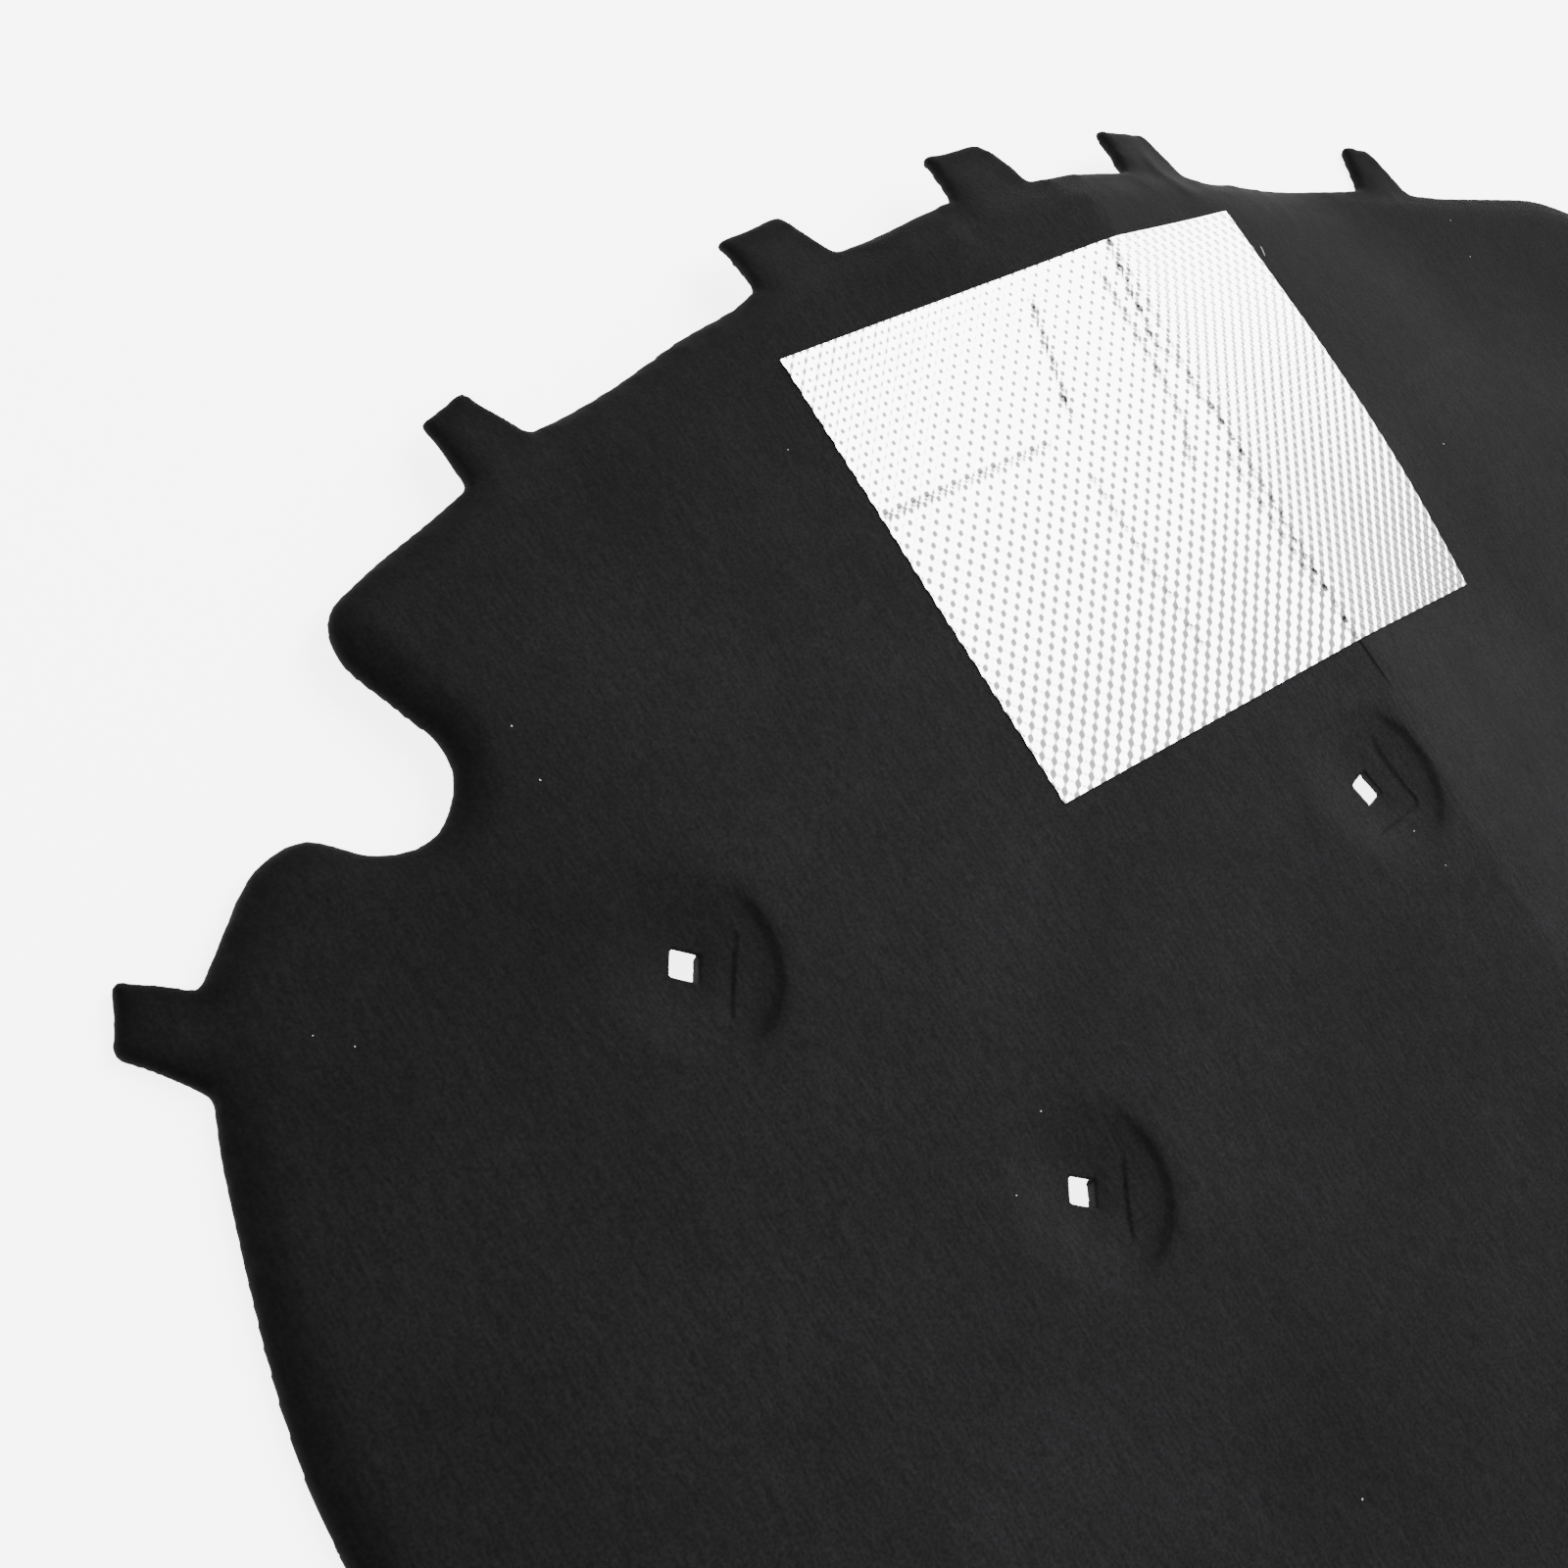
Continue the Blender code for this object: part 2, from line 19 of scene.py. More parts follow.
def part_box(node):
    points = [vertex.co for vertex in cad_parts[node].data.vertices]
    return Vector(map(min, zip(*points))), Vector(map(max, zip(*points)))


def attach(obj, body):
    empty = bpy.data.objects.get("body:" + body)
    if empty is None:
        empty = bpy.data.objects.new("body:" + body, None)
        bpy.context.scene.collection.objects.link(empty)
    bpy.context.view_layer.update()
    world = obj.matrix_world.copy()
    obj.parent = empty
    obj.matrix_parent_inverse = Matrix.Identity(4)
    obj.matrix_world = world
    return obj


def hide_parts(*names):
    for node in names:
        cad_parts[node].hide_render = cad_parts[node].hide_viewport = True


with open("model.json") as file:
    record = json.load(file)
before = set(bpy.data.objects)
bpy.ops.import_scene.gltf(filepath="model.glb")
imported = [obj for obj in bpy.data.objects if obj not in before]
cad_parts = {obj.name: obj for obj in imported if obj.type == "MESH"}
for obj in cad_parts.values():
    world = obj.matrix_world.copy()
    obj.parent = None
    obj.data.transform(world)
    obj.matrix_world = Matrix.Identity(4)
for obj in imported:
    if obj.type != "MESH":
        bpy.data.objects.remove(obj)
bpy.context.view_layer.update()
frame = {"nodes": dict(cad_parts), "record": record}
MM = 0.001
print("nodes:", sorted(frame["nodes"]))

# %% [markdown]
# ## The camera
# The photograph is taken from above the pad's left side, with the camera turned so that the
# front edge runs up to the right. A camera can be aimed with a constraint, but here its three
# directions are known, so they are put straight into its matrix. The lens is a short
# telephoto, and its angle follows from the picture's width of 1600 pixels.

# %% Camera
CAMERA_PLACE = Vector((-1.0281, 0.0608, 0.8300))
LOOK = Vector((0.6722, 0.1242, -0.7299))
PICTURE_UP = Vector((0.3115, 0.8469, 0.4310))
FOCAL_PIXELS = 2955
PICTURE_PIXELS = 1600

right = LOOK.cross(PICTURE_UP).normalized()
up = right.cross(LOOK).normalized()
camera = bpy.data.objects.new("camera", bpy.data.cameras.new("camera"))
camera.data.sensor_width = 36
camera.data.lens = FOCAL_PIXELS / PICTURE_PIXELS * camera.data.sensor_width
camera.data.clip_end = 50
turned = Matrix((right, up, -LOOK)).transposed().to_4x4()
camera.matrix_world = Matrix.Translation(CAMERA_PLACE) @ turned
bpy.context.scene.collection.objects.link(camera)
bpy.context.scene.camera = camera
print("lens:", round(camera.data.lens, 1), "mm")


def to_picture(places):
    """Where places show in the picture, in its pixels."""
    seen = (places - np.array(CAMERA_PLACE)) @ np.array([right, up, LOOK]).T
    return PICTURE_PIXELS / 2 + FOCAL_PIXELS * seen[:, :2] / seen[:, 2:] * (1, -1)


def from_picture(tree, pixel):
    """The place on a surface that shows at a pixel of the picture, and its normal there."""
    x, y = pixel[0] - PICTURE_PIXELS / 2, PICTURE_PIXELS / 2 - pixel[1]
    direction = (LOOK * FOCAL_PIXELS + right * x + up * y).normalized()
    place, normal = tree.ray_cast(CAMERA_PLACE, direction)[:2]
    return place, normal

# %% [markdown]
# ## Colours and nodes
# Colours are given as sRGB hex values, but a shader works in linear light, so one
# function turns them. Another small function adds a node, sets its inputs and links them.
# Fibres, the painted shade of the clip seats and the darker rim, partly denser felt and partly
# painted shade, all darken one tone, so a last function multiplies numbers: each is first
# carried from one range to another, and stays inside the second.


# %% Helpers for materials
def linear(hex_colour):
    """A colour such as "2a2a2b" in linear light, with full alpha."""
    parts = [int(hex_colour[i:i + 2], 16) / 255 for i in (0, 2, 4)]
    return (*[p / 12.92 if p <= 0.04045 else ((p + 0.055) / 1.055) ** 2.4 for p in parts], 1.0)


def add(tree, kind, settings=None, **inputs):
    """Adds a node. A value that is a socket is linked, and any other is set on the input."""
    node = tree.nodes.new(kind)
    for name, value in (settings or {}).items():
        setattr(node, name, value)
    for name, value in inputs.items():
        key = int(name[1:]) if name[0] == "i" and name[1:].isdigit() else name.replace("_", " ")
        if isinstance(value, bpy.types.NodeSocket):
            tree.links.new(value, node.inputs[key])
        else:
            node.inputs[key].default_value = value
    return node


def new_material(name):
    """An empty node material with its shader and output."""
    material = bpy.data.materials.new(name)
    material.use_nodes = True
    tree = material.node_tree
    tree.nodes.clear()
    shader = tree.nodes.new("ShaderNodeBsdfPrincipled")
    output = tree.nodes.new("ShaderNodeOutputMaterial")
    tree.links.new(shader.outputs[0], output.inputs[0])
    return material, tree, shader


def product(tree, start, factors):
    """Multiplies a start by several values, each carried from one range to another."""
    for value, from_low, from_high, to_low, to_high in factors:
        ranged = add(tree, "ShaderNodeMapRange", i0=value, i1=from_low, i2=from_high,
                     i3=to_low, i4=to_high).outputs[0]
        start = add(tree, "ShaderNodeMath", {"operation": "MULTIPLY"}, i0=start, i1=ranged).outputs[0]
    return start


# %% [markdown]
# ## The studio
# The pad lies on a lit white table, so the background and the clip holes show white. One
# tall softbox stands on the far side. Foil is a mirror: it is white where it reflects the
# softbox, and grey where its emboss tilts past the softbox's edge to the duller room. So
# the box's place is worked out from the directions in which the foil reflects the camera.

# %% Floor and lights
FLOOR_HALF = 6
TABLE_GLOW, ROOM_GLOW = 5.0, 0.9

floor_mesh = bpy.data.meshes.new("floor")
bm = bmesh.new()
bmesh.ops.create_grid(bm, x_segments=1, y_segments=1, size=FLOOR_HALF)
bm.to_mesh(floor_mesh)
bm.free()
floor = bpy.data.objects.new("floor", floor_mesh)
bpy.context.scene.collection.objects.link(floor)
table_material, _, table_shader = new_material("lit_white_table")
table_shader.inputs["Base Color"].default_value = linear("fafafa")
table_shader.inputs["Roughness"].default_value = 0.9
table_shader.inputs["Emission Color"].default_value = linear("ffffff")
table_shader.inputs["Emission Strength"].default_value = TABLE_GLOW
floor_mesh.materials.append(table_material)

FOIL_MIDDLE = Vector((0.0, 0.25, 0.04))
BOX_DISTANCE = 3.2
BOX_AZIMUTH, BOX_ELEVATION = math.radians(21.5), math.radians(46)
BOX_SIZE = (2.05, 4.9)
BOX_POWER = 310


def softbox(name, direction, distance, size, power):
    """A rectangular area light that faces the foil from a direction."""
    light = bpy.data.lights.new(name, "AREA")
    light.shape = "RECTANGLE"
    light.size, light.size_y = size
    light.energy = power
    holder = bpy.data.objects.new(name, light)
    turn = (-direction).to_track_quat("-Z", "Y").to_matrix().to_4x4()
    holder.matrix_world = Matrix.Translation(FOIL_MIDDLE + direction * distance) @ turn
    bpy.context.scene.collection.objects.link(holder)


box_direction = Vector((math.cos(BOX_AZIMUTH) * math.cos(BOX_ELEVATION),
                        math.sin(BOX_AZIMUTH) * math.cos(BOX_ELEVATION), math.sin(BOX_ELEVATION)))
softbox("far_softbox", box_direction, BOX_DISTANCE, BOX_SIZE, BOX_POWER)
world = bpy.data.worlds.new("studio")
world.use_nodes = True
world.node_tree.nodes["Background"].inputs["Color"].default_value = linear("f4f4f4")
world.node_tree.nodes["Background"].inputs["Strength"].default_value = ROOM_GLOW
bpy.context.scene.world = world
print("softbox:", BOX_SIZE, "m, direction", [round(part, 2) for part in box_direction])

# %% [markdown]
# ## The felt panel
# The pad is a sheet of needled fibres that was pressed in a hot mould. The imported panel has
# the right outline, so its surface isn't drawn again. A copy is merged, and a voxel remesh
# covers it with small even squares; cutting the CAD's long triangles by hand would leave
# slivers that shade in streaks. The squares at the clip seats are cut once more into nine,
# and a shrinkwrap then pulls every point back onto the CAD surface.

# %% Copy the panel and remesh it
VOXEL = 2.2 * MM
SEAT_ZONE = 46 * MM

clip_holes = [opening for opening in frame["record"]["physics"]["openings"]
              if opening["name"].endswith("clip_hole")]
holes = [(Vector(hole["box_m"][0]) + Vector(hole["box_m"][1])) / 2 for hole in clip_holes]
hole_places = np.array([hole.xy for hole in holes])

bm = bmesh.new()
bm.from_mesh(frame["nodes"]["felt_panel"].data)
bmesh.ops.remove_doubles(bm, verts=bm.verts, dist=0.01 * MM)
bm.normal_update()
cad_panel = BVHTree.FromBMesh(bm)
pattern_mesh = bpy.data.meshes.new("pattern")
bm.to_mesh(pattern_mesh)
bm.free()
pattern = bpy.data.objects.new("pattern", pattern_mesh)
felt = bpy.data.objects.new("needle_felt_pad", pattern_mesh.copy())
for piece in (pattern, felt):
    bpy.context.scene.collection.objects.link(piece)


def apply_modifier(piece, kind, settings):
    """Adds a modifier with its settings to a piece, and applies it."""
    modifier = piece.modifiers.new(kind, kind)
    for name, value in settings.items():
        setattr(modifier, name, value)
    bpy.context.view_layer.objects.active = piece
    bpy.ops.object.modifier_apply(modifier=modifier.name)


apply_modifier(felt, "REMESH", {"mode": "VOXEL", "voxel_size": VOXEL})
bm = bmesh.new()
bm.from_mesh(felt.data)
zone = [edge for edge in bm.edges
        if min((edge.verts[0].co.xy - hole.xy).length for hole in holes) < SEAT_ZONE]
bmesh.ops.subdivide_edges(bm, edges=zone, cuts=2, use_grid_fill=True)
bm.to_mesh(felt.data)
bm.free()
apply_modifier(felt, "SHRINKWRAP", {"target": pattern, "wrap_method": "NEAREST_SURFACEPOINT"})
bpy.data.objects.remove(pattern)


def read_points(what):
    """The places or the normals of the felt's points, as rows of three numbers."""
    numbers = np.empty(len(felt.data.vertices) * 3, dtype=np.float32)
    felt.data.vertices.foreach_get(what, numbers)
    return numbers.reshape(-1, 3).astype(float)


points = read_points("co")
print("points:", len(points))

# %% [markdown]
# ## Distances from the rim and the clip seats
# The felt is thin and dark along its rim, and the seats must stay crisp. So each point gets
# two distances: how far in from the rim it lies, and how far from the nearest clip hole.
# Rays from above tell where there is felt. They are shot on a raster of 4 mm squares, and
# each square with felt then looks up its nearest neighbour without.

# %% Rasters of the panel
CELL = 4 * MM
RASTER_MARGIN = 4
HOLE_REACH = 12 * MM

low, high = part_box("felt_panel")
left = low[0] - CELL * RASTER_MARGIN
front = low[1] - CELL * RASTER_MARGIN
columns = int((high[0] - low[0]) / CELL) + 2 * RASTER_MARGIN + 1
rows = int((high[1] - low[1]) / CELL) + 2 * RASTER_MARGIN + 1
grid_x, grid_y = np.meshgrid(left + CELL * np.arange(columns), front + CELL * np.arange(rows))


def top_of(tree, x, y):
    """Height of the surface seen from above, or not a number where there is none."""
    hit = tree.ray_cast(Vector((x, y, 1)), Vector((0, 0, -1)))[0]
    return math.nan if hit is None else hit.z


def from_holes(places):
    """Distance of each place from the nearest clip hole, seen from above."""
    return np.min([np.linalg.norm(places - hole, axis=-1) for hole in hole_places], axis=0)


raster_top = np.vectorize(lambda x, y: top_of(cad_panel, x, y))(grid_x, grid_y)
raster_hole = from_holes(np.stack([grid_x, grid_y], -1))
covered = ~np.isnan(raster_top) | (raster_hole < HOLE_REACH)

beside = ~covered & (np.roll(covered, 1, 0) | np.roll(covered, -1, 0)
                     | np.roll(covered, 1, 1) | np.roll(covered, -1, 1))
outside = KDTree(int(beside.sum()))
for index, place in enumerate(zip(grid_x[beside], grid_y[beside])):
    outside.insert((*place, 0), index)
outside.balance()
raster_depth = np.zeros(covered.shape)
raster_depth[covered] = [outside.find((x, y, 0))[2]
                         for x, y in zip(grid_x[covered], grid_y[covered])]
print("clip holes:", len(holes), " deepest point:", round(raster_depth.max() / MM), "mm")

# %% [markdown]
# ## An even rim
# The voxels leave steps along a slanting edge, so the points of the rim are smoothed a
# little. The mould's shoulder beside the rim is soft on the real pad, so a wider band next
# to it is smoothed more. The seats are left out of both.

# %% Smooth the rim and its band
RIM_SOFT, RIM_TURNS = 9 * MM, 6
BAND, BAND_TURNS = (5 * MM, 42 * MM), 30


def sample(raster, places):
    """A raster's values at places, read between its four nearest cells."""
    i = np.clip((places[:, 0] - left) / CELL, 0, columns - 1.001)
    j = np.clip((places[:, 1] - front) / CELL, 0, rows - 1.001)
    i0, j0 = i.astype(int), j.astype(int)
    di, dj = i - i0, j - j0
    return ((1 - dj) * ((1 - di) * raster[j0, i0] + di * raster[j0, i0 + 1])
            + dj * ((1 - di) * raster[j0 + 1, i0] + di * raster[j0 + 1, i0 + 1]))


def soft_step(values, start, end):
    """Soft step from 0 to 1 between two values."""
    share = np.clip((values - start) / (end - start), 0, 1)
    return share * share * (3 - 2 * share)


def hump(values, middle, spread):
    """1 at the middle value, and softly down to 0 on both sides of it."""
    return np.exp(-((values - middle) / spread) ** 2)


def smooth(name, chosen, turns):
    """Evens out the chosen points of the felt with a modifier."""
    group = felt.vertex_groups.new(name=name)
    group.add([int(i) for i in np.nonzero(chosen)[0]], 1.0, "REPLACE")
    apply_modifier(felt, "SMOOTH", {"vertex_group": name, "factor": 0.5, "iterations": turns})


hole_distance = from_holes(points[:, :2])
rim_depth = sample(raster_depth, points)
off_seats = hole_distance > SEAT_ZONE
smooth("rim", (rim_depth < RIM_SOFT) & off_seats, RIM_TURNS)
smooth("band", (rim_depth > BAND[0]) & (rim_depth < BAND[1]) & off_seats, BAND_TURNS)
points = read_points("co")
print("points smoothed:", int(((rim_depth < BAND[1]) & off_seats).sum()))

# %% [markdown]
# ## The rim
# Remeshing and smoothing pull the rim in by about a millimetre, so its side faces are pushed
# out again. Real felt is also cut by a press and then stretched by its own weight, and so
# its outline isn't quite the drawn one. A few soft pulls take it there. Each is a place in
# the picture, a pull in the picture's pixels and a reach, and only points near the rim move.

# %% Push and pull the rim
RIM_PUSH = 0.9 * MM
PULLS = (
    ((372, 694), (-4, 6), 42), ((342, 640), (-4, 0), 40), ((312, 866), (0, -7), 42),
    ((452, 832), (-4, 0), 34), ((116, 1074), (-6, 3), 24), ((172, 1016), (0, -4), 44),
    ((232, 1180), (-4, 0), 60), ((736, 249), (-5, 0), 14), ((947, 161), (-5, -1), 12),
    ((1120, 139), (-4, -2), 12), ((1374, 152), (-3, -3), 12), ((432, 436), (-4, 1), 14),
    ((945, 218), (0, -5), 30), ((525, 440), (-2, -6), 42), ((417, 736), (-3, 4), 30),
    ((337, 1566), (-4, 0), 130), ((1014, 157), (2, -3), 14), ((381, 580), (-3, -3), 50),
    ((1227, 186), (0, 4), 24), ((376, 870), (0, 5), 26), ((116, 1006), (-2, -4), 12),
    ((686, 352), (-2, -5), 48), ((474, 403), (0, -4), 14), ((965, 206), (-2, -3), 14),
    ((1032, 170), (2, -3), 16), ((762, 294), (-4, -2), 14), ((242, 1262), (-2, 0), 60),
)

near_rim = 1 - soft_step(rim_depth, 4 * MM, 11 * MM)
points[:, :2] += RIM_PUSH * read_points("normal")[:, :2] * near_rim[:, None]
in_picture = to_picture(points)
pull = np.zeros((len(points), 2))
for place, (move_x, move_y), reach in PULLS:
    away = np.linalg.norm(in_picture - place, axis=1)
    pull += hump(away, 0, reach)[:, None] * (move_x, -move_y)
pull *= (1 - soft_step(rim_depth, 6 * MM, 26 * MM))[:, None]
one_pixel = np.linalg.norm(points - np.array(CAMERA_PLACE), axis=1) / FOCAL_PIXELS
plan_from_picture = np.linalg.inv(np.array([right[:2], up[:2]]))
moved = (pull @ plan_from_picture.T) * one_pixel[:, None]
points[:, :2] += moved
print("largest pull:", round(float(np.linalg.norm(moved, axis=1).max()) / MM, 1), "mm")

# %% [markdown]
# ## The clip seats
# Each clip pulls a square of felt down onto the steel behind it, so the mould presses the
# felt thin around the hole, inside a round dish. In the photograph the felt goes down in a
# soft bowl, and only the far side of the square and of the dish shows as a step. So each
# seat has its own facts, seen from above and in degrees: how far its square is turned, and
# which way its steps face. A step is sharp where the cosine of the angle from its way is
# over a limit. The lip of the hole is thin but for its far side, in millimetres.

# %% Facts of the seats
SIDE_SEAT = {"land_limit": 0.60, "dish_limit": 0.45, "far_lip": 6.4, "near_lip": 1.4}
CENTRE_SEAT = {"land_limit": 0.0, "dish_limit": 0.48, "far_lip": 4.6, "near_lip": 4.2}
SEATS = {
    "centre_clip_hole": {"turn": 5, "land_way": -38, "dish_way": -6, **CENTRE_SEAT},
    "left_front_clip_hole": {"turn": 51, "land_way": -39, "dish_way": -28, **SIDE_SEAT},
    "left_rear_clip_hole": {"turn": 57, "land_way": -33, "dish_way": -28, **SIDE_SEAT},
    "right_front_clip_hole": {"turn": -51, "land_way": 219, "dish_way": 208, **SIDE_SEAT},
    "right_rear_clip_hole": {"turn": -57, "land_way": 213, "dish_way": 208, **SIDE_SEAT},
}

seat_names = [hole["name"] for hole in clip_holes]
seat = np.nonzero(hole_distance < SEAT_ZONE)[0]
away = [np.linalg.norm(points[seat, :2] - hole, axis=1) for hole in hole_places]
nearest = np.argmin(away, axis=0)
facts = {fact: np.array([SEATS[name][fact] for name in seat_names])[nearest]
         for fact in SEATS[seat_names[0]]}
print("points in the seats:", len(seat))

# %% [markdown]
# ## Square holes
# The remesh rounds the corners of the square holes, so each point near a corner is put into
# it. U and v are measured from the hole's middle along its sides. A punched felt hole also
# closes up a little, so one wall bulges into it.

# %% Square up the holes
HOLE_HALF = 6.25 * MM
CORNER_IN, CORNER_OUT = 0.8 * MM, 0.2 * MM
BULGE = 1.2 * MM

turn = np.radians(facts["turn"])
offset = points[seat, :2] - hole_places[nearest]
seat_u = np.cos(turn) * offset[:, 0] + np.sin(turn) * offset[:, 1]
seat_v = np.cos(turn) * offset[:, 1] - np.sin(turn) * offset[:, 0]
longer = np.maximum(abs(seat_u), abs(seat_v))
shorter = np.minimum(abs(seat_u), abs(seat_v))
in_corner = (longer < HOLE_HALF + CORNER_OUT) & (shorter > HOLE_HALF - CORNER_IN)
for side in (seat_u, seat_v):
    side[in_corner] = np.sign(side[in_corner]) * HOLE_HALF
at_wall = 1 - soft_step(abs(seat_u + HOLE_HALF), 0, 4 * MM)
seat_u += BULGE * at_wall * (1 - soft_step(abs(seat_v), 6 * MM, 10 * MM))
offset = np.column_stack([np.cos(turn) * seat_u - np.sin(turn) * seat_v,
                          np.sin(turn) * seat_u + np.cos(turn) * seat_v])
points[seat, :2] = hole_places[nearest] + offset
reach = np.linalg.norm(offset, axis=1)
bearing = np.arctan2(offset[:, 1], offset[:, 0])
print("points in the corners:", int(in_corner.sum()))

# %% [markdown]
# ## The thickness of the seats
# Rays from above and below find both faces of the CAD felt, a little outside the hole where
# a point lies in it, and each point keeps its share of the thickness between them. Then the
# thickness is drawn anew: a bowl, and two short steps that fade out to the sides. The thin
# lip of the hole is pressed from below.

# %% Measure the thickness
CLEAR_OF_HOLE = 9.5 * MM
LAND_HALF, LAND_CORNER = 19.5 * MM, 4 * MM
DISH_EDGE = 37.5 * MM

push_out = np.maximum(1, CLEAR_OF_HOLE / np.maximum(reach, 0.1 * MM))
clear = hole_places[nearest] + offset * push_out[:, None]
top = np.array([top_of(cad_panel, x, y) for x, y in clear])
upwards = Vector((0, 0, 1))
under = np.array([cad_panel.ray_cast(Vector((x, y, -1)), upwards)[0].z for x, y in clear])
thickness = float(np.median((top - under)[reach > SEAT_ZONE - 2 * MM]))
share = np.clip((points[seat, 2] - under) / (top - under), 0, 1)
corner_u = abs(seat_u) - (LAND_HALF - LAND_CORNER)
corner_v = abs(seat_v) - (LAND_HALF - LAND_CORNER)
from_land = (np.hypot(np.maximum(corner_u, 0), np.maximum(corner_v, 0))
             + np.minimum(np.maximum(corner_u, corner_v), 0) - LAND_CORNER)
from_dish = DISH_EDGE - reach
print("felt is", round(thickness / MM, 1), "mm thick; seats:", seat_names)

# %% Draw the thickness anew
BOWL, BOWL_FROM, BOWL_TO = 5.5 * MM, 5 * MM, 43 * MM
LAND_STEP, LAND_FADE, LAND_RUN = 0.75 * MM, 0.25, 9 * MM
DISH_STEP, DISH_FADE, DISH_RUN = 1.1 * MM, 0.4, 8 * MM
LIP_FROM, LIP_TO = 10 * MM, 20 * MM

to_land, to_dish = (np.cos(bearing - np.radians(facts[way])) for way in ("land_way", "dish_way"))
land_sharp = soft_step(to_land, facts["land_limit"], facts["land_limit"] + LAND_FADE)
dish_sharp = soft_step(to_dish, facts["dish_limit"], facts["dish_limit"] + DISH_FADE)
in_land = land_sharp * soft_step(-from_land, -0.7 * MM, 1.2 * MM)
in_land *= np.exp(np.minimum(from_land, 0) / LAND_RUN)
in_dish = dish_sharp * soft_step(from_dish, -2.0 * MM, 3.0 * MM)
in_dish *= np.exp(-np.maximum(from_dish, 0) / DISH_RUN)
bowl = 1 - soft_step(reach, BOWL_FROM, BOWL_TO)
new_top = under + thickness - BOWL * bowl - LAND_STEP * in_land - DISH_STEP * in_dish
far_side = soft_step(np.cos(bearing - turn + math.pi / 2), 0.58, 0.70)
lip = (facts["near_lip"] + (facts["far_lip"] - facts["near_lip"]) * far_side) * MM
spare = np.maximum(new_top - lip - under, 0)
new_under = under + spare * (1 - soft_step(reach, LIP_FROM, LIP_TO))
points[seat, 2] = new_under + share * (new_top - new_under)
print("thinnest lip:", round(float((new_top - new_under).min()) / MM, 1), "mm")

# %% [markdown]
# ## Painted shade in the seats
# Shade falls at the foot of each step, and it is painted there as a darker tone. So a share
# of painted shade is kept for each point: two narrow lines at the steps, and two wide painted
# shadows, inside the dish and round the hole, that fade out away from the sharp side.

# %% Painted shade at the steps
step_shade = (0.7 * land_sharp * hump(from_land, -0.4 * MM, 0.9 * MM)
                + 0.6 * dish_sharp * hump(from_dish, 1.0 * MM, 2.0 * MM)
                + 0.65 * soft_step(to_dish, 0.2, 0.9) * hump(from_dish, 2.0 * MM, 7.0 * MM)
                + 0.4 * soft_step(to_dish, 0.0, 0.9) * hump(reach, 9.0 * MM, 5.0 * MM))
seat_shade = np.zeros(len(points))
seat_shade[seat] = share * step_shade
print("hardest crushed:", round(float(seat_shade.max()), 2))

# %% [markdown]
# ## Softening the flanks
# The CAD's right flank is made of flat facets, and real felt bends evenly. The heights are
# blurred over the raster, and only the change is added to the points, so both faces of the
# felt move together and it keeps its thickness. The fold, the rim and the seats stay crisp.
# Under the foil's two right corners the sheet also leaves its even curve: it sags at the
# rear one and lifts a little at the front one; each is a place, a reach and a rise. Slow
# waves of half a millimetre come last, because a soft sheet never lies quite even.

# %% Blur, sag and wave
BLUR = 14 * MM
PLAIN_FROM_RIM, PLAIN_FROM_HOLE = 14 * MM, 44 * MM
SAG = ((0.165, 0.130), 0.075, -4.5 * MM)
LIFT = ((0.165, 0.365), 0.045, 2.0 * MM)
WAVES = ((0.55, 7, 0), (0.30, 19, 3))


def blurred(raster, known):
    """A Gaussian blur that leaves the unknown cells out."""
    reach = int(3 * BLUR / CELL)
    weights = np.exp(-0.5 * (np.arange(-reach, reach + 1) * CELL / BLUR) ** 2)
    sums = []
    for values in (np.where(known, raster, 0.0), known.astype(float)):
        for axis in (0, 1):
            values = np.apply_along_axis(lambda line: np.convolve(line, weights, "same"), axis, values)
        sums.append(values)
    return sums[0] / np.maximum(sums[1], 1e-9)


plain = (~np.isnan(raster_top) & (raster_depth > PLAIN_FROM_RIM)
         & (raster_hole > PLAIN_FROM_HOLE))
plain_top = np.where(plain, raster_top, 0.0)
change = np.where(plain, blurred(plain_top, plain) - plain_top, 0.0)

crest = [j for j in range(rows) if plain[j].any()]
crest_x = [grid_x[j, np.argmax(plain_top[j])] for j in crest]
ridge_line = np.polyfit(grid_y[crest, 0], crest_x, 1)
beyond_ridge = points[:, 0] - np.polyval(ridge_line, points[:, 1])
weight = soft_step(rim_depth, 16 * MM, 34 * MM) * soft_step(hole_distance, PLAIN_FROM_HOLE, 60 * MM)
points[:, 2] += sample(change, points) * weight * soft_step(beyond_ridge, 14 * MM, 40 * MM)

for place, reach, rise in (SAG, LIFT):
    away = np.linalg.norm(points[:, :2] - place, axis=1)
    points[:, 2] += rise * hump(away, 0, reach) * soft_step(beyond_ridge, 0, 60 * MM)


def wave(x, y):
    """Height of the slow waves, in millimetres. Each has a height, waves a metre and a layer."""
    return sum(height * noise.noise(Vector((x, y, layer)) * per_metre)
               for height, per_metre, layer in WAVES)


waves = np.vectorize(wave)(grid_x, grid_y)
freedom = 0.3 + 0.7 * soft_step(hole_distance, 40 * MM, 70 * MM)
freedom = soft_step(rim_depth, 4 * MM, 40 * MM) * freedom
points[:, 2] = np.maximum(points[:, 2] + sample(waves, points) * MM * freedom, 0.0)
largest = float(np.abs(change).max()) / MM
print("ridge leans", round(float(ridge_line[0]), 3), " largest blur:", round(largest, 2), "mm")

# %% [markdown]
# ## Keeping the shape
# The felt's shape is done. It is written back into the mesh, with three numbers for each
# point that the material will read: the distance from the rim, how much painted shade it gets
# in a clip seat and how near it lies to the shipping fold. A search tree of the shape tells
# later where the foil and the lint lie on it.

# %% Write the felt's shape
RIDGE_CREASE, CREASE_SPREAD = 10 * MM, 11 * MM

